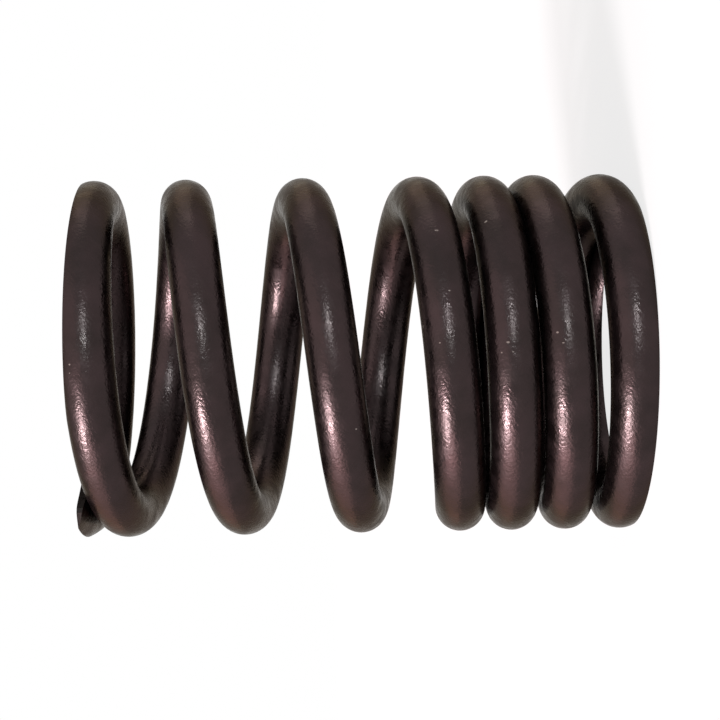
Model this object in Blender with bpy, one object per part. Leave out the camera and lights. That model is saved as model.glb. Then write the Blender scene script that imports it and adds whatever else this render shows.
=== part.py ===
"""Valve spring: one round wire, coiled right-handed, with closed and ground ends and closer turns at its foot.

Metres, +Z up. The spring stands on its close-wound end, and the origin is the centre of that ground face.
"""

import math

import bmesh
import bpy
from mathutils import Matrix, Vector

MM = 0.001

# Wire and coil
WIRE_DIAMETER = 4.4 * MM
MEAN_DIAMETER = 27.3 * MM
FREE_LENGTH = 48.0 * MM
COIL_TURNS = 7.5
START_ANGLE = math.radians(35)

# Clear gaps between neighbouring turns. The open gap follows from the free length.
CLOSE_GAP = 0.03 * MM
FOOT_GAP = 2.92 * MM

# Rise of each closing end turn, per turn, and what the grinding wheel takes off the wire there
FOOT_END_LEAD = 2.46 * MM
HEAD_END_LEAD = 2.2 * MM
FOOT_GRIND = 1.3 * MM
HEAD_GRIND = 1.8 * MM
GRIND_MEASURED_TURNS = 0.4

# The winding's stretches, in turns: five from the foot upwards, two from the head downwards
FOOT_CLOSED_TURNS = 0.79
FOOT_RELEASE_TURNS = 0.1
FOOT_TIGHTEN_TURNS = 1.03
CLOSE_WOUND_TURNS = 1.27
OPENING_TURNS = 0.92
CLOSING_TURNS = 0.56
HEAD_CLOSED_TURNS = 0.61

# The sheared ends: where the wire's point lies across it, and how far its two sides fall short of the point
POINT_OFFSET = 0.6 * MM
OUTER_SHEAR = 2.7 * MM
INNER_SHEAR = 2.1 * MM
SHEARED_TURNS = 0.12

# The head's tip is squeezed wider as it is sheared: how far its outside moves, and over how much of a turn
TIP_SPREAD = 1.8 * MM
TIP_SPREAD_TURNS = 0.11

# Facets
RINGS_PER_TURN = 40
SECTION_SIDES = 16
PITCH_STEPS_PER_TURN = 200
SHARP_ANGLE = math.radians(40)

# Finish: a dark plum-brown bake over shot-peened steel
FINISH_COLOUR = (0.040, 0.025, 0.025, 1.0)
FINISH_ROUGHNESS = 0.38
FINISH_METALLIC = 0.85


def clear_scene():
    for thing in list(bpy.data.objects):
        bpy.data.objects.remove(thing, do_unlink=True)


def spring_finish():
    material = bpy.data.materials.new("plum_bake")
    material.use_nodes = True
    shader = material.node_tree.nodes["Principled BSDF"]
    shader.inputs["Base Color"].default_value = FINISH_COLOUR
    shader.inputs["Roughness"].default_value = FINISH_ROUGHNESS
    shader.inputs["Metallic"].default_value = FINISH_METALLIC
    material.diffuse_color = FINISH_COLOUR
    return material


def between(value, marks, levels):
    """Straight-line interpolation through (marks, levels), flat beyond both ends."""
    if value <= marks[0]:
        return levels[0]
    for low, high, first, last in zip(marks, marks[1:], levels, levels[1:]):
        if value <= high:
            return first + (last - first) * (value - low) / (high - low)
    return levels[-1]


def pitch_marks():
    """Turn counts at which the pitch changes its course, from the foot to the head."""
    released = FOOT_CLOSED_TURNS + FOOT_RELEASE_TURNS
    tightened = released + FOOT_TIGHTEN_TURNS
    opens = tightened + CLOSE_WOUND_TURNS
    opened = opens + OPENING_TURNS
    closed = COIL_TURNS - HEAD_CLOSED_TURNS
    closes = closed - CLOSING_TURNS
    return [0.0, FOOT_CLOSED_TURNS, released, tightened, opens, opened, closes, closed, COIL_TURNS]


def pitch_levels(open_pitch):
    """Rise per turn at each of those marks."""
    foot = WIRE_DIAMETER + FOOT_GAP
    close = WIRE_DIAMETER + CLOSE_GAP
    return [FOOT_END_LEAD, FOOT_END_LEAD, foot, close, close, open_pitch, open_pitch, HEAD_END_LEAD, HEAD_END_LEAD]


def risen(open_pitch):
    """Height gained from the foot's end of the wire to each small step along the winding."""
    marks = pitch_marks()
    levels = pitch_levels(open_pitch)
    steps = math.ceil(COIL_TURNS * PITCH_STEPS_PER_TURN)
    stride = COIL_TURNS / steps
    heights = [0.0]
    for step in range(steps):
        heights.append(heights[-1] + stride * between((step + 0.5) * stride, marks, levels))
    return [step * stride for step in range(steps + 1)], heights


def open_pitch_for_length():
    """The open turns' pitch that brings the coil to its free length. The rise is linear in it."""
    lower, upper = GRIND_MEASURED_TURNS, COIL_TURNS - GRIND_MEASURED_TURNS
    foot_height = WIRE_DIAMETER / 2 - FOOT_GRIND
    head_height = FREE_LENGTH - WIRE_DIAMETER / 2 + HEAD_GRIND
    needed = head_height - foot_height

    def rise(pitch):
        turns, heights = risen(pitch)
        return between(upper, turns, heights) - between(lower, turns, heights)

    without = rise(0.0)
    return (needed - without) / ((rise(WIRE_DIAMETER) - without) / WIRE_DIAMETER)


def wire_heights():
    """Turns and heights of the wire's centre line. Each closed end lies against the turn next to it."""
    turns, heights = risen(open_pitch_for_length())
    lift = WIRE_DIAMETER / 2 - FOOT_GRIND - between(GRIND_MEASURED_TURNS, turns, heights)
    free = [height + lift for height in heights]
    seated = WIRE_DIAMETER + CLOSE_GAP
    closed = []
    for turn, height in zip(turns, free):
        if turn < 1.0:
            height = min(height, between(turn + 1.0, turns, free) - seated)
        if turn > COIL_TURNS - 1.0:
            height = max(height, between(turn - 1.0, turns, free) + seated)
        closed.append(height)
    return turns, closed


def centre_point(turn, turns, heights):
    angle = START_ANGLE + 2 * math.pi * turn
    radius = MEAN_DIAMETER / 2
    return Vector((radius * math.cos(angle), radius * math.sin(angle), between(turn, turns, heights)))


def wire_point(turn, around, turns, heights):
    """A point of the wire's surface. Around is 0 on the coil's outside and turns towards the head."""
    near = 0.5 / RINGS_PER_TURN
    before = centre_point(max(turn - near, 0.0), turns, heights)
    after = centre_point(min(turn + near, COIL_TURNS), turns, heights)
    along = (after - before).normalized()
    centre = centre_point(turn, turns, heights)
    outward = Vector((centre.x, centre.y, 0.0))
    outward = (outward - along * outward.dot(along)).normalized()
    upward = outward.cross(along)
    across = math.cos(around) * WIRE_DIAMETER / 2
    squeezed = max((turn - COIL_TURNS) / TIP_SPREAD_TURNS + 1.0, 0.0)
    across += TIP_SPREAD * squeezed ** 2 * (1.0 + math.cos(around)) / 2
    return centre + outward * across + upward * (math.sin(around) * WIRE_DIAMETER / 2)


def turns_short_of_point(around):
    """How far the sheared wire ends before its point, in turns, at this angle round its section."""
    aside = WIRE_DIAMETER / 2 * math.cos(around) - POINT_OFFSET
    if aside > 0.0:
        short = OUTER_SHEAR * aside / (WIRE_DIAMETER / 2 - POINT_OFFSET)
    else:
        short = -INNER_SHEAR * aside / (WIRE_DIAMETER / 2 + POINT_OFFSET)
    return short / (math.pi * MEAN_DIAMETER)


def section_ring(mesh, turn, turns, heights):
    """One ring round the wire. Near an end it leans back, so that the last ring lies in the sheared faces."""
    at_foot = max(1.0 - turn / SHEARED_TURNS, 0.0)
    at_head = max(1.0 - (COIL_TURNS - turn) / SHEARED_TURNS, 0.0)
    ring = []
    for side in range(SECTION_SIDES):
        around = 2 * math.pi * side / SECTION_SIDES
        leaning = turn + (at_foot - at_head) * turns_short_of_point(around)
        ring.append(mesh.verts.new(wire_point(leaning, around, turns, heights)))
    return ring


def shear_face(mesh, ring):
    """Closes an end of the wire with strips that run from its upper side to its lower side."""
    for side in range(SECTION_SIDES // 2):
        strip = [ring[side], ring[side + 1], ring[-side - 1], ring[-side]]
        mesh.faces.new(list(dict.fromkeys(strip)))


def sweep_wire(mesh):
    """The whole wire as one closed tube."""
    turns, heights = wire_heights()
    count = math.ceil(COIL_TURNS * RINGS_PER_TURN)
    rings = [section_ring(mesh, COIL_TURNS * index / count, turns, heights) for index in range(count + 1)]
    for first, second in zip(rings, rings[1:]):
        for side in range(SECTION_SIDES):
            beside = (side + 1) % SECTION_SIDES
            mesh.faces.new((first[side], first[beside], second[beside], second[side]))
    shear_face(mesh, rings[0])
    shear_face(mesh, rings[-1])
    bmesh.ops.recalc_face_normals(mesh, faces=mesh.faces)


def grind_end(mesh, height, outwards):
    """Takes everything beyond one level plane off the coil and leaves the flat crescent it stands on."""
    cut = bmesh.ops.bisect_plane(
        mesh,
        geom=mesh.verts[:] + mesh.edges[:] + mesh.faces[:],
        plane_co=(0.0, 0.0, height),
        plane_no=(0.0, 0.0, outwards),
        clear_outer=True,
    )
    rim = [item for item in cut["geom_cut"] if isinstance(item, bmesh.types.BMEdge)]
    bmesh.ops.triangle_fill(mesh, use_beauty=True, edges=rim, normal=(0.0, 0.0, outwards))


def make_spring():
    mesh = bmesh.new()
    sweep_wire(mesh)
    grind_end(mesh, 0.0, -1.0)
    grind_end(mesh, FREE_LENGTH, 1.0)
    bmesh.ops.recalc_face_normals(mesh, faces=mesh.faces)
    data = bpy.data.meshes.new("valve_spring")
    mesh.to_mesh(data)
    mesh.free()
    data.materials.append(spring_finish())
    data.shade_smooth()
    data.set_sharp_from_angle(angle=SHARP_ANGLE)
    spring = bpy.data.objects.new("valve_spring", data)
    spring.matrix_world = Matrix.Identity(4)
    bpy.context.scene.collection.objects.link(spring)
    return spring


clear_scene()
make_spring()
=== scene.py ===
# %% [markdown]
# # A valve spring, from one bent line to a finished surface
#
# A valve spring is the coil that closes an engine's valve. It is one round steel wire, wound into
# a spiral that climbs at a changing pace: slowly where the turns lie close together at the foot,
# faster where the coil is open, and hardly at all at the two ends, which are then ground flat.
#
# We build it in the order in which it is made: wind the wire, shear it off, grind the ends, and
# bake the finish on. Before that come the camera, the floor and the light, because every later
# choice is judged through them.

# %% Load the measured part
import math

import bmesh
import bpy
import numpy as np
from mathutils import Matrix, Vector


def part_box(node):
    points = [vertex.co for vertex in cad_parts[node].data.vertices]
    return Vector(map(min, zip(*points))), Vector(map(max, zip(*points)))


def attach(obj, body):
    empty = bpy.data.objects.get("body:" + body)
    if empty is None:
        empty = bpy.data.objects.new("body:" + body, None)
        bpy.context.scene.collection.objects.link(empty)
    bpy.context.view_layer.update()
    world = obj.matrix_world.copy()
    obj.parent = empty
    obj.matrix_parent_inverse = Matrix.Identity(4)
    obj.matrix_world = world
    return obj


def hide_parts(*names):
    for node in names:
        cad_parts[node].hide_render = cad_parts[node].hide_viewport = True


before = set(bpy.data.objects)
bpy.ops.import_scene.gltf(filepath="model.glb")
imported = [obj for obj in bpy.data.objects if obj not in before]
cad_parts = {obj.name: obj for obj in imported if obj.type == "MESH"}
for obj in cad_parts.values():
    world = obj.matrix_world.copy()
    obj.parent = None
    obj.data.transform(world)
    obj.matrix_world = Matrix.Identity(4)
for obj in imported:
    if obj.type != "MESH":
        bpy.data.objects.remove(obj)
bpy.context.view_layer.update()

MM = 0.001
lowest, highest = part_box("valve_spring")
OUTSIDE_DIAMETER = highest.x - lowest.x
FREE_LENGTH = highest.z - lowest.z
print(f"the coil is {OUTSIDE_DIAMETER / MM:.2f} mm across and {FREE_LENGTH / MM:.2f} mm long")

# %% [markdown]
# ## The camera
#
# The photograph was taken from close by: the near strands are clearly larger than the far ones,
# which only happens when the camera is a few coil widths away. So the camera stands 144 mm from
# the coil's axis, instead of far away with a longer lens. The spring stands upright in our scene
# and lies on its side in the picture, so the camera is rolled by about 90 degrees. Rolling the
# camera is the honest way to do this: the spring keeps standing on its foot, and every other view
# of it shows it upright.

# %% Place the camera
CAMERA_PLACE = Vector((-0.451, -143.85, 27.181)) * MM
CAMERA_TILT = math.radians(-1.340)
CAMERA_ROLL = math.radians(-90.923)
CAMERA_LENS = 80.15
CAMERA_SENSOR = 36.0
NEAREST_SEEN = 1 * MM
FARTHEST_SEEN = 20.0


def place_camera():
    data = bpy.data.cameras.new("camera")
    data.sensor_width = CAMERA_SENSOR
    data.lens = CAMERA_LENS
    data.clip_start = NEAREST_SEEN
    data.clip_end = FARTHEST_SEEN
    camera = bpy.data.objects.new("camera", data)
    bpy.context.scene.collection.objects.link(camera)
    level = Matrix.Rotation(math.radians(90) + CAMERA_TILT, 4, "X")
    roll = Matrix.Rotation(CAMERA_ROLL, 4, "Z")
    camera.matrix_world = Matrix.Translation(CAMERA_PLACE) @ level @ roll
    bpy.context.scene.camera = camera
    return camera


camera = place_camera()
print(f"the camera stands {-camera.location.y / MM:.1f} mm in front of the coil's axis")

# %% [markdown]
# ## Small helpers for materials
#
# Every material below is a graph of nodes. Making a node, setting its values and joining it to the
# one before takes four lines each time, so short helpers keep the recipes readable: `add` makes a
# node and fills in its sockets, and `join` draws one wire. Four more make what several finishes
# need: a random pattern, a change of range, a blend of two colours and a relief.

# %% Helpers for node graphs


def add(tree, kind, settings=None, **sockets):
    """A new node with its own settings and the values of its input sockets."""
    node = tree.nodes.new(kind)
    for name, value in (settings or {}).items():
        setattr(node, name, value)
    for name, value in sockets.items():
        node.inputs[name.replace("_", " ")].default_value = value
    return node


def join(tree, output, target):
    tree.links.new(output, target)


def empty_material(name):
    """A material whose graph holds nothing yet."""
    material = bpy.data.materials.new(name)
    material.use_nodes = True
    material.node_tree.nodes.clear()
    return material, material.node_tree


# %% Helpers for patterns


def noise(tree, place, **sockets):
    """A cloudy random pattern from 0 to 1."""
    pattern = add(tree, "ShaderNodeTexNoise", **sockets)
    join(tree, place, pattern.inputs["Vector"])
    return pattern.outputs["Fac"]


def remapped(tree, amount, **sockets):
    """The same amount, stretched from one range to another."""
    span = add(tree, "ShaderNodeMapRange", **sockets)
    join(tree, amount, span.inputs["Value"])
    return span.outputs["Result"]


def blended(tree, amount, first, second):
    """A colour between two. Each is given as the amount at which it is reached, and the colour."""
    ramp = add(tree, "ShaderNodeValToRGB")
    for stop, (position, colour) in zip(ramp.color_ramp.elements, (first, second)):
        stop.position = position
        stop.color = colour
    join(tree, amount, ramp.inputs["Fac"])
    return ramp.outputs["Color"]


def relief(tree, height, depth, below=None):
    """A surface that seems to rise by up to this depth, laid over an earlier relief."""
    bump = add(tree, "ShaderNodeBump", Strength=1.0, Distance=depth)
    join(tree, height, bump.inputs["Height"])
    if below is not None:
        join(tree, below, bump.inputs["Normal"])
    return bump.outputs["Normal"]


# %% [markdown]
# ## A white room
#
# Dark, satin metal is mostly a picture of what stands round it. The room is therefore white for
# the camera and for reflections, but sheds very little light itself, so that the lamps decide
# where it is bright. Blender's Light Path node makes that split: it tells for what a ray was sent
# out, so one world can answer with white to a reflection and with a dim grey to the rest.

# %% Make the world
ROOM_LIGHT = 0.05
WHITE = (1.0, 1.0, 1.0, 1.0)


def seen_directly(tree):
    """1 for rays from the camera, from a reflection or through glass, and 0 for the light itself."""
    path = add(tree, "ShaderNodeLightPath")
    first = add(tree, "ShaderNodeMath", {"operation": "MAXIMUM"})
    second = add(tree, "ShaderNodeMath", {"operation": "MAXIMUM"})
    join(tree, path.outputs["Is Camera Ray"], first.inputs[0])
    join(tree, path.outputs["Is Glossy Ray"], first.inputs[1])
    join(tree, first.outputs[0], second.inputs[0])
    join(tree, path.outputs["Is Transmission Ray"], second.inputs[1])
    return second.outputs[0]


def make_room():
    world = bpy.data.worlds.new("white_room")
    bpy.context.scene.world = world
    world.use_nodes = True
    tree = world.node_tree
    tree.nodes.clear()
    light = add(tree, "ShaderNodeBackground", Color=WHITE, Strength=ROOM_LIGHT)
    white = add(tree, "ShaderNodeBackground", Color=WHITE, Strength=1.0)
    choose = add(tree, "ShaderNodeMixShader")
    output = add(tree, "ShaderNodeOutputWorld")
    join(tree, seen_directly(tree), choose.inputs[0])
    join(tree, light.outputs[0], choose.inputs[1])
    join(tree, white.outputs[0], choose.inputs[2])
    join(tree, choose.outputs[0], output.inputs["Surface"])


make_room()
scene = bpy.context.scene
scene.view_settings.view_transform = "Standard"
print("made the world", scene.world.name)

# %% [markdown]
# ## The floor
#
# The spring stands on a pale floor that has to vanish into the white room and still catch a
# shadow. Plain paint can't do both: it takes on the strength and the tint of the lamps, so the floor
# would end in a visible line against the room. This floor adds two parts. One is ordinary matt
# paint, which darkens in the shadow. The other is a light of its own, which only the camera and
# reflections see. Together they come to white where nothing shades them.

# %% Lay the floor
FLOOR_SIZE = 8.0
FLOOR_PAINT = 0.16
FLOOR_GLOW = 0.80


def floor_finish():
    material, tree = empty_material("pale_floor")
    paint = add(tree, "ShaderNodeBsdfDiffuse", Color=(FLOOR_PAINT, FLOOR_PAINT, FLOOR_PAINT, 1.0))
    glow = add(tree, "ShaderNodeEmission", Color=WHITE)
    share = add(tree, "ShaderNodeMath", {"operation": "MULTIPLY"})
    share.inputs[1].default_value = FLOOR_GLOW
    both = add(tree, "ShaderNodeAddShader")
    output = add(tree, "ShaderNodeOutputMaterial")
    join(tree, seen_directly(tree), share.inputs[0])
    join(tree, share.outputs[0], glow.inputs["Strength"])
    join(tree, paint.outputs[0], both.inputs[0])
    join(tree, glow.outputs[0], both.inputs[1])
    join(tree, both.outputs[0], output.inputs["Surface"])
    return material


def lay_floor():
    mesh = bmesh.new()
    bmesh.ops.create_grid(mesh, x_segments=1, y_segments=1, size=FLOOR_SIZE / 2)
    data = bpy.data.meshes.new("studio_floor")
    mesh.to_mesh(data)
    mesh.free()
    data.materials.append(floor_finish())
    floor = bpy.data.objects.new("studio_floor", data)
    scene.collection.objects.link(floor)


lay_floor()
print(f"laid a floor of {FLOOR_SIZE:.0f} by {FLOOR_SIZE:.0f} m")

# %% [markdown]
# ## Six soft lamps
#
# Each strand in the photograph carries a strong, pinkish streak and a weak, greyish glint. Each
# says where a light stood: follow the line of sight to it, bounce it off the round wire, and the
# bounced line points at the light. The key lamp and the wider, rosy glow round it make the streak
# and its soft skirt, and the fill lamp makes the glint. Three wide lamps tint the edges: olive grey
# on the upper one, red on the lower one, and rosy on the side that faces the key.
#
# All are suns, and each one's disc is 5 to 80 degrees wide, which is the same as a round softbox far
# away: a streak stays in the same place on every strand, as it does in the photograph. Their
# strengths are kept near a plain level, at which matt grey paint on a ball in the coil's place comes
# out about as bright as it is mixed. A steel that only looks right in a flood of light would look
# black anywhere else.

# %% Hang the lamps
KEY_TOWARDS = Vector((-0.62, -0.42, 0.66))
GLOW_TOWARDS = Vector((-0.72, -0.38, 0.58))
FILL_TOWARDS = Vector((0.32, -0.95, 0.03))
TOP_TOWARDS = Vector((0.87, 0.50, 0.0))
LOW_TOWARDS = Vector((-0.95, 0.22, 0.10))
SIDE_TOWARDS = Vector((0.0, -0.42, 0.90))
LAMP_DISTANCE = 0.5


def hang_lamp(name, towards, strength, disc, colour):
    data = bpy.data.lights.new(name, "SUN")
    data.energy = strength
    data.angle = math.radians(disc)
    data.color = colour
    lamp = bpy.data.objects.new(name, data)
    lamp.rotation_mode = "QUATERNION"
    lamp.rotation_quaternion = towards.to_track_quat("Z", "Y")
    lamp.location = towards.normalized() * LAMP_DISTANCE
    scene.collection.objects.link(lamp)
    print(f"hung {name}, {strength} strong and {disc:.0f} degrees wide")


hang_lamp("key_lamp", KEY_TOWARDS, strength=3.9, disc=13.0, colour=(1.0, 0.96, 0.98))
hang_lamp("key_glow", GLOW_TOWARDS, strength=1.8, disc=46.0, colour=(1.0, 0.74, 0.75))
hang_lamp("fill_lamp", FILL_TOWARDS, strength=1.05, disc=5.0, colour=(0.80, 1.0, 1.0))
hang_lamp("top_lamp", TOP_TOWARDS, strength=0.9, disc=60.0, colour=(1.0, 1.0, 0.92))
hang_lamp("low_lamp", LOW_TOWARDS, strength=1.8, disc=76.0, colour=(1.0, 0.66, 0.64))
hang_lamp("side_lamp", SIDE_TOWARDS, strength=0.6, disc=80.0, colour=(1.0, 0.70, 0.66))

# %% [markdown]
# ## How the wire climbs
#
# On a coiling machine a pitch tool pushes the wire sideways while it is bent, and a cam sets how
# hard it pushes at each moment. The two lists of stretches below are that cam: they mark, in turns,
# where the push changes. `pitch_cam` gives how far the wire climbs per turn at each mark, and the
# climb changes evenly from one mark to the next.
#
# In the photograph no light comes between the turns that are wound close, so they seem to touch. Two
# surfaces in one and the same place would flicker in the render, so 0.004 mm is left between them,
# far too little to see through.

# %% Set the cam
WIRE_DIAMETER = 4.4 * MM
MEAN_DIAMETER = OUTSIDE_DIAMETER - WIRE_DIAMETER
TURNS = 7.5
START_ANGLE = math.radians(35)
CLOSE_GAP = 0.004 * MM
FOOT_GAP = 2.92 * MM
FOOT_LEAD = 2.46 * MM
HEAD_LEAD = 2.2 * MM
# From the foot up: the end turn, its release, the first gap closing, the close turns, the opening
FOOT_STRETCHES = [0.0, 0.79, 0.1, 1.03, 1.27, 0.92]
# From the head down: the end turn, and the pitch easing towards it
HEAD_STRETCHES = [0.0, 0.61, 0.56]


def pitch_cam(open_pitch):
    """Marks along the winding, in turns from the foot, and the climb per turn at each."""
    marks = list(np.cumsum(FOOT_STRETCHES)) + list(TURNS - np.cumsum(HEAD_STRETCHES)[::-1])
    foot = WIRE_DIAMETER + FOOT_GAP
    close = WIRE_DIAMETER + CLOSE_GAP
    climbs = [FOOT_LEAD, FOOT_LEAD, foot, close, close, open_pitch, open_pitch, HEAD_LEAD, HEAD_LEAD]
    return marks, climbs


print("the climb changes its pace at turns", [round(float(mark), 2) for mark in pitch_cam(0.0)[0]])

# %% [markdown]
# ## The pitch of the open turns
#
# This pitch isn't chosen: it is whatever brings the coil to its length. Adding up the climb in small
# steps gives the height of the wire's centre anywhere. That height grows in a straight line with the
# open pitch, so two trial values are enough to find the right one, with no search.

# %% Find the open pitch
FOOT_GRIND = 1.3 * MM
HEAD_GRIND = 1.8 * MM
GRIND_TURN = 0.4
STEPS_PER_TURN = 200

turns = np.linspace(0.0, TURNS, math.ceil(TURNS * STEPS_PER_TURN) + 1)


def climbed(open_pitch):
    """Height gained since the foot's end of the wire, at each of the small steps in turns."""
    middles = (turns[1:] + turns[:-1]) / 2
    gained = np.interp(middles, *pitch_cam(open_pitch)) * np.diff(turns)
    return np.concatenate([[0.0], np.cumsum(gained)])


def span(heights):
    """Height from the middle of the foot's ground turn to the middle of the head's."""
    low, high = np.interp([GRIND_TURN, TURNS - GRIND_TURN], turns, heights)
    return high - low


needed = FREE_LENGTH - WIRE_DIAMETER + HEAD_GRIND + FOOT_GRIND
at_nought = span(climbed(0.0))
at_wire = span(climbed(WIRE_DIAMETER))
OPEN_PITCH = WIRE_DIAMETER * (needed - at_nought) / (at_wire - at_nought)
print(f"the open turns climb {OPEN_PITCH / MM:.2f} mm each")

# %% [markdown]
# ## Closing both ends
#
# At each end the machine all but stops pushing, so the last turn closes up against the one beside
# it. We do the same with two comparisons: an end turn keeps its own height only as long as that
# leaves a wire's thickness to its neighbour, and otherwise takes the neighbour's height, a wire's
# thickness away. The whole line is first lifted so that grinding will leave the right flat.

# %% Close both ends
heights = climbed(OPEN_PITCH)
heights += WIRE_DIAMETER / 2 - FOOT_GRIND - np.interp(GRIND_TURN, turns, heights)
seated = WIRE_DIAMETER + CLOSE_GAP
under_next = np.minimum(heights, np.interp(turns + 1, turns, heights) - seated)
over_last = np.maximum(heights, np.interp(turns - 1, turns, heights) + seated)
upper_part = np.where(turns > TURNS - 1, over_last, heights)
centre_heights = np.where(turns < 1, under_next, upper_part)
foot_end = centre_heights[0] / MM
head_end = centre_heights[-1] / MM
print(f"the wire's centre climbs from {foot_end:.2f} to {head_end:.2f} mm")

# %% [markdown]
# ## A round section along that line
#
# A curve object with a bevel would make a round wire in one step. We sweep the section ourselves
# for two reasons: the wire's end is not square but sheared to a blunt point, and the finish later
# needs to know, at each spot, how far along the wire and how far round it that spot lies. Each
# vertex is placed by those two numbers alone, so both come for free.
#
# The blade that parts the wire also squeezes the head's tip wider, as the lower left corner of the
# photograph shows. So the outer side of the section moves outwards over the last ninth of a turn,
# slowly at first and then faster, and the side that faces the axis stays where it is.

# %% The wire's surface as a function
RINGS_PER_TURN = 150
TIP_SPREAD = 1.8 * MM
TIP_TURNS = 0.11


def centre_line(turn):
    """Centre of the wire at these turns, as an array of points."""
    angle = START_ANGLE + 2 * math.pi * turn
    radius = MEAN_DIAMETER / 2
    height = np.interp(turn, turns, centre_heights)
    return np.stack([radius * np.cos(angle), radius * np.sin(angle), height], -1)


def unit(vectors):
    return vectors / np.linalg.norm(vectors, axis=-1, keepdims=True)


def on_wire(turn, around):
    """Points of the wire's surface. Around is 0 on the coil's outside and turns towards its head."""
    near = 0.5 / RINGS_PER_TURN
    inside = np.clip(turn, near, TURNS - near)
    centre = centre_line(turn)
    along = unit(centre_line(inside + near) - centre_line(inside - near))
    outward = centre * (1.0, 1.0, 0.0)
    outward = unit(outward - along * np.sum(outward * along, -1, keepdims=True))
    upward = np.cross(outward, along)
    spread = TIP_SPREAD * np.clip((turn - TURNS) / TIP_TURNS + 1, 0, None) ** 2
    across = WIRE_DIAMETER / 2 * np.cos(around) + spread * (1 + np.cos(around)) / 2
    along_height = WIRE_DIAMETER / 2 * np.sin(around)
    return centre + outward * across[..., None] + upward * along_height[..., None]


middle_turn = on_wire(np.array(TURNS / 2), np.array(0.0))
print("halfway, the coil's outside passes", (middle_turn / MM).round(2).tolist(), "mm")

# %% [markdown]
# ## The sheared ends
#
# A blade parts the finished coil from the rest of the wire. It leaves no clean disc: the wire tears
# to a blunt point, which lies a little further out than the middle of the wire. Cutting such a
# shape out of a finished tube would leave slivers. Here the last rings simply lean back instead:
# the further a vertex lies from the point, the more it is pulled back, and the last ring of all
# lies in the sheared faces.

# %% Lean the last rings back
SECTION_SIDES = 48
POINT_OFFSET = 0.60 * MM
POINT_BLUNT = 0.35 * MM
OUTER_SLOPE = 1.9
INNER_SLOPE = 0.8
SHEARED_TURNS = 0.12


def pulled_back(around):
    """How many turns short of the point the wire ends, at each angle round it."""
    aside = np.cos(around) * WIRE_DIAMETER / 2 - POINT_OFFSET
    slope = np.where(aside > 0, OUTER_SLOPE, INNER_SLOPE)
    lengths = slope * (np.sqrt(aside**2 + POINT_BLUNT**2) - POINT_BLUNT)
    return lengths / (math.pi * MEAN_DIAMETER)


def wire_rings():
    """Place of every vertex, ring by ring: how many turns along the wire, and the point in space."""
    ring_turns = np.linspace(0.0, TURNS, math.ceil(TURNS * RINGS_PER_TURN) + 1)
    around = 2 * math.pi * np.arange(SECTION_SIDES) / SECTION_SIDES
    near_foot = np.clip(1 - ring_turns / SHEARED_TURNS, 0, 1)
    near_head = np.clip(1 - (TURNS - ring_turns) / SHEARED_TURNS, 0, 1)
    turn = ring_turns[:, None] + (near_foot - near_head)[:, None] * pulled_back(around)[None, :]
    return turn, on_wire(turn, np.broadcast_to(around, turn.shape))


vertex_turns, vertex_points = wire_rings()
print("the wire has", len(vertex_turns), "rings of", SECTION_SIDES, "vertices")

# %% [markdown]
# ## The tube
#
# Four neighbouring vertices make one face of the wire's skin. Each corner also keeps how far along
# and how far round the wire it lies, in metres, as a UV map, so that a pattern can later follow the
# wire round the coil. The two ends are closed with strips that run from the upper side of the last
# ring to its lower side. The faces get one of three finishes by number: baked, ground or torn.

# %% Sweep the wire
BAKED = 0
GROUND = 1
TORN = 2


def skin_wire(mesh, verts):
    """The wire's round side, with its length and girth kept as a UV map."""
    kept = mesh.loops.layers.uv.new("wire")
    radius = WIRE_DIAMETER / 2
    for ring in range(len(vertex_turns) - 1):
        for side in range(SECTION_SIDES):
            beside = side + 1
            corners = [(ring, side), (ring, beside), (ring + 1, beside), (ring + 1, side)]
            face = mesh.faces.new([verts[r * SECTION_SIDES + s % SECTION_SIDES] for r, s in corners])
            for loop, (r, s) in zip(face.loops, corners):
                length = vertex_turns[r, s % SECTION_SIDES] * math.pi * MEAN_DIAMETER
                loop[kept].uv = (length, s * 2 * math.pi * radius / SECTION_SIDES)


def close_tube(mesh, ring):
    """Strips across one end of the wire."""
    for side in range(SECTION_SIDES // 2):
        strip = [side, side + 1, SECTION_SIDES - side - 1, (SECTION_SIDES - side) % SECTION_SIDES]
        face = mesh.faces.new([ring[s] for s in dict.fromkeys(strip)])
        face.material_index = TORN


def sweep_wire():
    """The whole wire as one closed tube."""
    mesh = bmesh.new()
    verts = [mesh.verts.new(point) for point in vertex_points.reshape(-1, 3).tolist()]
    skin_wire(mesh, verts)
    close_tube(mesh, verts[:SECTION_SIDES])
    close_tube(mesh, verts[-SECTION_SIDES:])
    bmesh.ops.recalc_face_normals(mesh, faces=mesh.faces)
    return mesh


wire = sweep_wire()
print("swept", len(wire.verts), "vertices and", len(wire.faces), "faces")

# %% [markdown]
# ## Grinding the ends flat
#
# The coil is passed between two grinding wheels, which take off whatever stands beyond the length.
# Blender's bisect does the same: it cuts the mesh by a plane, throws the outer side away, and the
# hole that remains is filled with one flat face. A boolean with a box would give the same shape,
# but a plane has no sides that could graze the next turn.

# %% Grind both ends


def grind(mesh, height, outwards):
    """Cuts the coil off level, fills the hole with one flat face and gives that flat the ground
    finish.
    """
    cut = bmesh.ops.bisect_plane(
        mesh,
        geom=mesh.verts[:] + mesh.edges[:] + mesh.faces[:],
        plane_co=(0.0, 0.0, height),
        plane_no=(0.0, 0.0, outwards),
        clear_outer=True,
    )
    rim = [item for item in cut["geom_cut"] if isinstance(item, bmesh.types.BMEdge)]
    filled = bmesh.ops.triangle_fill(mesh, use_beauty=True, edges=rim, normal=(0.0, 0.0, outwards))
    flat = [item for item in filled["geom"] if isinstance(item, bmesh.types.BMFace)]
    for face in flat:
        face.material_index = GROUND
    area = sum(face.calc_area() for face in flat)
    print(f"the flat at {height / MM:.0f} mm is {area / MM**2:.1f} mm2")


grind(wire, 0.0, -1.0)
grind(wire, FREE_LENGTH, 1.0)

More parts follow.
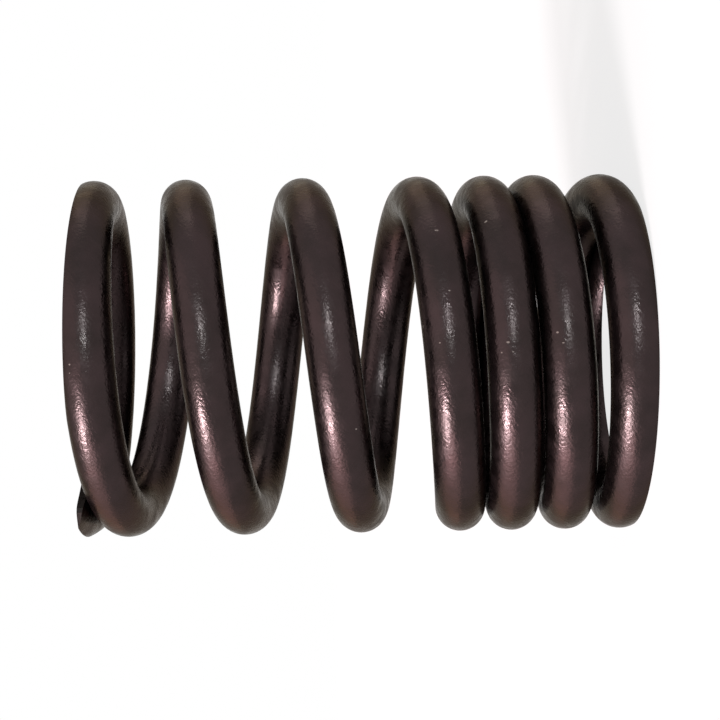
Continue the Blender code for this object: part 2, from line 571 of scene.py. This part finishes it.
# %% [markdown]
# ## One piece, with crisp rims
#
# The round side has to look smooth, and the rims of the flats have to stay crisp. Blender can set
# sharp edges by angle, but where a ground flat runs out it meets the wire at only 5 degrees, and two
# neighbouring sides of the wire itself meet at 7.5. So no angle tells a rim from the round side. The
# finish does: a face is smooth if it is baked, and an edge is sharp if two finishes meet there.

# %% Make the piece
bmesh.ops.recalc_face_normals(wire, faces=wire.faces)
for face in wire.faces:
    face.smooth = face.material_index == BAKED
for edge in wire.edges:
    edge.smooth = len({face.material_index for face in edge.link_faces}) == 1
coil_mesh = bpy.data.meshes.new("spring_coil")
wire.to_mesh(coil_mesh)
wire.free()
coil = bpy.data.objects.new("spring_coil", coil_mesh)
scene.collection.objects.link(coil)
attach(coil, "root")
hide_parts("valve_spring")
print("the piece has", len(coil_mesh.polygons), "faces")

# %% [markdown]
# ## Colour and gloss of the plum bake
#
# The finish is baked on: a dark plum skin, so thin that it shines like the steel below. The base
# colour is therefore nearly black with a red cast, and the metal value is high so that the streaks
# take that cast too. A metal's reflection grows towards its edge, and in a white room that would
# draw a pale line round every strand. The Specular Tint socket turns that growth down.
#
# An even colour would look like plastic. One cloudy pattern shifts the bake between two plums a few
# millimetres apart, and a finer one makes it glossier here and duller there.

# %% Colour and gloss
DARK_PLUM = (0.0348, 0.0263, 0.0260, 1.0)
LIGHT_PLUM = (0.0469, 0.0331, 0.0339, 1.0)
EDGE_TINT = (0.52, 0.50, 0.46, 1.0)
CLOUD_LOW = 0.35
CLOUD_HIGH = 0.65
GLOSSIEST = 0.20
DULLEST = 0.36


def bake_colour(tree, place):
    """Plum that drifts between a darker and a lighter tone."""
    cloud = noise(tree, place, Scale=260.0, Detail=4.0, Roughness=0.6)
    return blended(tree, cloud, (CLOUD_LOW, DARK_PLUM), (CLOUD_HIGH, LIGHT_PLUM))


def bake_roughness(tree, place):
    patches = noise(tree, place, Scale=700.0, Detail=3.0)
    return remapped(
        tree,
        patches,
        From_Min=CLOUD_LOW,
        From_Max=CLOUD_HIGH,
        To_Min=GLOSSIEST,
        To_Max=DULLEST,
    )


# %% [markdown]
# ## Dimples and dashes
#
# Good spring wire is hammered by a stream of tiny steel shot, which leaves it dull with dimples a
# quarter of a millimetre wide. They break the streaks of light up into sparkling grains. Over them
# lie short, slanted dashes, which the streaks in the photograph show as well. Both are far too small
# for geometry, so they are relief: the shading tilts and the outline stays.
#
# The dimples have no direction and are laid through space. The dashes follow the wire, so they are
# laid on its UV map, turned by 35 degrees and drawn out to five times their width.

# %% Dimples and dashes
DIMPLE_DEPTH = 0.034 * MM
DASH_DEPTH = 0.016 * MM
DASH_SLANT = math.radians(35.0)
DASH_WIDTH = 0.2


def peened_relief(tree, place, wire_map):
    """The dimples of the shot, with the slanted dashes over them."""
    dimples = noise(tree, place, Scale=4200.0, Detail=2.0, Roughness=0.5)
    peened = relief(tree, dimples, DIMPLE_DEPTH)
    slant = add(
        tree,
        "ShaderNodeMapping",
        {"vector_type": "TEXTURE"},
        Rotation=(0.0, 0.0, DASH_SLANT),
        Scale=(1.0, DASH_WIDTH, 1.0),
    )
    join(tree, wire_map, slant.inputs["Vector"])
    dashes = noise(tree, slant.outputs["Vector"], Scale=900.0, Detail=2.0)
    return relief(tree, dashes, DASH_DEPTH, below=peened)


# %% [markdown]
# ## Chips in the bake
#
# The photograph shows a few small bright specks. We take them for chips, where a knock has taken the
# bake off and paler steel shows. A random pattern would scatter them evenly, and the eye sees at once
# that it is a pattern. So each chip is listed here by itself: how many turns along the wire it lies,
# its angle round the wire, and its size in millimetres. The distance to the nearest chip, counted in
# chip sizes and roughened by a fine noise, makes a ragged spot. Squeezing space along the axis makes
# the spots longer that way.

# %% Scatter the chips
CHIPS = [
    (3.704, -0.10, 0.07), (3.679, 1.25, 0.18), (3.662, 0.47, 0.06), (3.763, 0.03, 0.11),
    (2.661, 0.30, 0.11), (2.653, 0.57, 0.08), (2.653, 0.13, 0.06), (2.778, 0.62, 0.14),
    (1.669, 0.52, 0.10), (1.660, 0.33, 0.07), (6.649, 0.57, 0.09), (6.642, 0.60, 0.06),
    (4.588, -0.55, 0.09),
]
CHIP_STRETCH = (1.3, 1.3, 0.65)
CHIP_STARTS = 1.5
CHIP_FULL = 1.3
CHIP_COLOUR = (0.22, 0.185, 0.17, 1.0)


def distance_to_chip(tree, place, ragged, chip):
    """Distance to one chip's middle, counted in its own size, with the ragged noise added."""
    turn, around, size = chip
    middle = on_wire(np.array(turn), np.array(around)) * CHIP_STRETCH
    away = add(tree, "ShaderNodeVectorMath", {"operation": "DISTANCE"})
    away.inputs[1].default_value = middle.tolist()
    join(tree, place, away.inputs[0])
    counted = add(tree, "ShaderNodeMath", {"operation": "MULTIPLY_ADD"})
    counted.inputs[1].default_value = 1 / (size * MM)
    join(tree, away.outputs["Value"], counted.inputs[0])
    join(tree, ragged, counted.inputs[2])
    return counted.outputs[0]


def chipped(tree, place):
    """1 where a chip has gone off the bake, and 0 elsewhere."""
    ragged = noise(tree, place, Scale=9000.0, Detail=1.0)
    stretched = add(tree, "ShaderNodeMapping", Scale=CHIP_STRETCH)
    join(tree, place, stretched.inputs["Vector"])
    nearest = None
    for chip in CHIPS:
        distance = distance_to_chip(tree, stretched.outputs["Vector"], ragged, chip)
        if nearest is not None:
            lower = add(tree, "ShaderNodeMath", {"operation": "MINIMUM"})
            join(tree, nearest, lower.inputs[0])
            join(tree, distance, lower.inputs[1])
            distance = lower.outputs[0]
        nearest = distance
    return remapped(tree, nearest, From_Min=CHIP_STARTS, From_Max=CHIP_FULL)


print("scattered", len(CHIPS), "chips")

# %% [markdown]
# ## Baking it on
#
# One shader takes all of it. Its values that are the same everywhere are typed into its own sockets,
# and only what changes from place to place comes in by wire: colour, roughness and relief.

# %% Finish the wire


def plum_bake():
    material, tree = empty_material("plum_bake")
    place = add(tree, "ShaderNodeTexCoord").outputs["Object"]
    wire_map = add(tree, "ShaderNodeUVMap", {"uv_map": "wire"}).outputs["UV"]
    skin = add(
        tree,
        "ShaderNodeBsdfPrincipled",
        Metallic=0.94,
        Specular_IOR_Level=0.0,
        Specular_Tint=EDGE_TINT,
    )
    output = add(tree, "ShaderNodeOutputMaterial")
    join(tree, skin.outputs[0], output.inputs["Surface"])
    bare = add(tree, "ShaderNodeMix", {"data_type": "RGBA"})
    bare.inputs["B"].default_value = CHIP_COLOUR
    join(tree, chipped(tree, place), bare.inputs["Factor"])
    join(tree, bake_colour(tree, place), bare.inputs["A"])
    join(tree, bare.outputs["Result"], skin.inputs["Base Color"])
    join(tree, bake_roughness(tree, place), skin.inputs["Roughness"])
    join(tree, peened_relief(tree, place, wire_map), skin.inputs["Normal"])
    return material


coil_mesh.materials.append(plum_bake())
print("baked the wire with", coil_mesh.materials[BAKED].name)

# %% [markdown]
# ## The ground faces
#
# A grinding wheel leaves fine arcs on the two flats. They are circles round a far point, the middle
# of the wheel, so the distance to that point drives a pattern with one dimension: every spot at the
# same distance gets the same value. A second wheel crosses the first, more faintly.
#
# The photograph shows the flats only from the side, so their colour is a guess: baked like the rest
# and partly worn since, dark where the bake still lies and paler where it has rubbed off.

# %% Arcs of the wheels
WHEEL_MIDDLES = [(-0.09, 0.03, 0.0), (0.06, 0.10, 0.0)]
SECOND_WHEEL_SHARE = 0.3


def wheel_lines(tree, place, middle):
    """Fine arcs of uneven width round a far point, the middle of a grinding wheel's disc."""
    away = add(tree, "ShaderNodeVectorMath", {"operation": "DISTANCE"})
    away.inputs[1].default_value = middle
    join(tree, place, away.inputs[0])
    lines = add(
        tree,
        "ShaderNodeTexNoise",
        {"noise_dimensions": "1D"},
        Scale=7000.0,
        Detail=3.0,
        Roughness=0.7,
    )
    join(tree, away.outputs["Value"], lines.inputs["W"])
    return lines.outputs["Fac"]


def weighted_sum(tree, part, share, rest):
    """The rest, plus this share of the part."""
    total = add(tree, "ShaderNodeMath", {"operation": "MULTIPLY_ADD"})
    total.inputs[1].default_value = share
    join(tree, part, total.inputs[0])
    join(tree, rest, total.inputs[2])
    return total.outputs[0]


def crossed_arcs(tree, place):
    first = wheel_lines(tree, place, WHEEL_MIDDLES[0])
    second = wheel_lines(tree, place, WHEEL_MIDDLES[1])
    return weighted_sum(tree, second, SECOND_WHEEL_SHARE, first)


# %% Finish the ground faces
WORN_SHARE = 0.35
BAKED_STEEL = (0.068, 0.052, 0.050, 1.0)
RUBBED_STEEL = (0.170, 0.143, 0.132, 1.0)
ARC_DEPTH = 0.008 * MM


def ground_steel():
    material, tree = empty_material("ground_steel")
    place = add(tree, "ShaderNodeTexCoord").outputs["Object"]
    steel = add(tree, "ShaderNodeBsdfPrincipled", Metallic=0.9, Specular_IOR_Level=0.0)
    output = add(tree, "ShaderNodeOutputMaterial")
    join(tree, steel.outputs[0], output.inputs["Surface"])
    arcs = crossed_arcs(tree, place)
    worn = noise(tree, place, Scale=220.0, Detail=4.0, Roughness=0.6)
    wear = weighted_sum(tree, worn, WORN_SHARE, arcs)
    tint = blended(tree, wear, (0.50, BAKED_STEEL), (1.0, RUBBED_STEEL))
    join(tree, tint, steel.inputs["Base Color"])
    join(tree, remapped(tree, worn, To_Min=0.30, To_Max=0.48), steel.inputs["Roughness"])
    join(tree, relief(tree, arcs, ARC_DEPTH), steel.inputs["Normal"])
    return material


coil_mesh.materials.append(ground_steel())
print("ground the flats with", coil_mesh.materials[GROUND].name)

# %% [markdown]
# ## The sheared faces
#
# Torn steel is coarse, so it throws light in all directions. Its colour is set very dark, darker than
# the bake, so the sheared ends come out almost black beside the satin wire. A relief more than
# twice as deep as the dimples is enough for two faces as small as these.

# %% Finish the sheared faces
TORN_COLOUR = (0.020, 0.017, 0.016, 1.0)
TORN_EDGE_TINT = (0.2, 0.18, 0.17, 1.0)
TORN_DEPTH = 0.08 * MM


def torn_steel():
    material, tree = empty_material("torn_steel")
    place = add(tree, "ShaderNodeTexCoord").outputs["Object"]
    steel = add(
        tree,
        "ShaderNodeBsdfPrincipled",
        Base_Color=TORN_COLOUR,
        Metallic=0.9,
        Roughness=0.55,
        Specular_IOR_Level=0.0,
        Specular_Tint=TORN_EDGE_TINT,
    )
    output = add(tree, "ShaderNodeOutputMaterial")
    join(tree, steel.outputs[0], output.inputs["Surface"])
    grain = noise(tree, place, Scale=2200.0, Detail=4.0)
    join(tree, relief(tree, grain, TORN_DEPTH), steel.inputs["Normal"])
    return material


coil_mesh.materials.append(torn_steel())
print("left the sheared ends in", coil_mesh.materials[TORN].name)
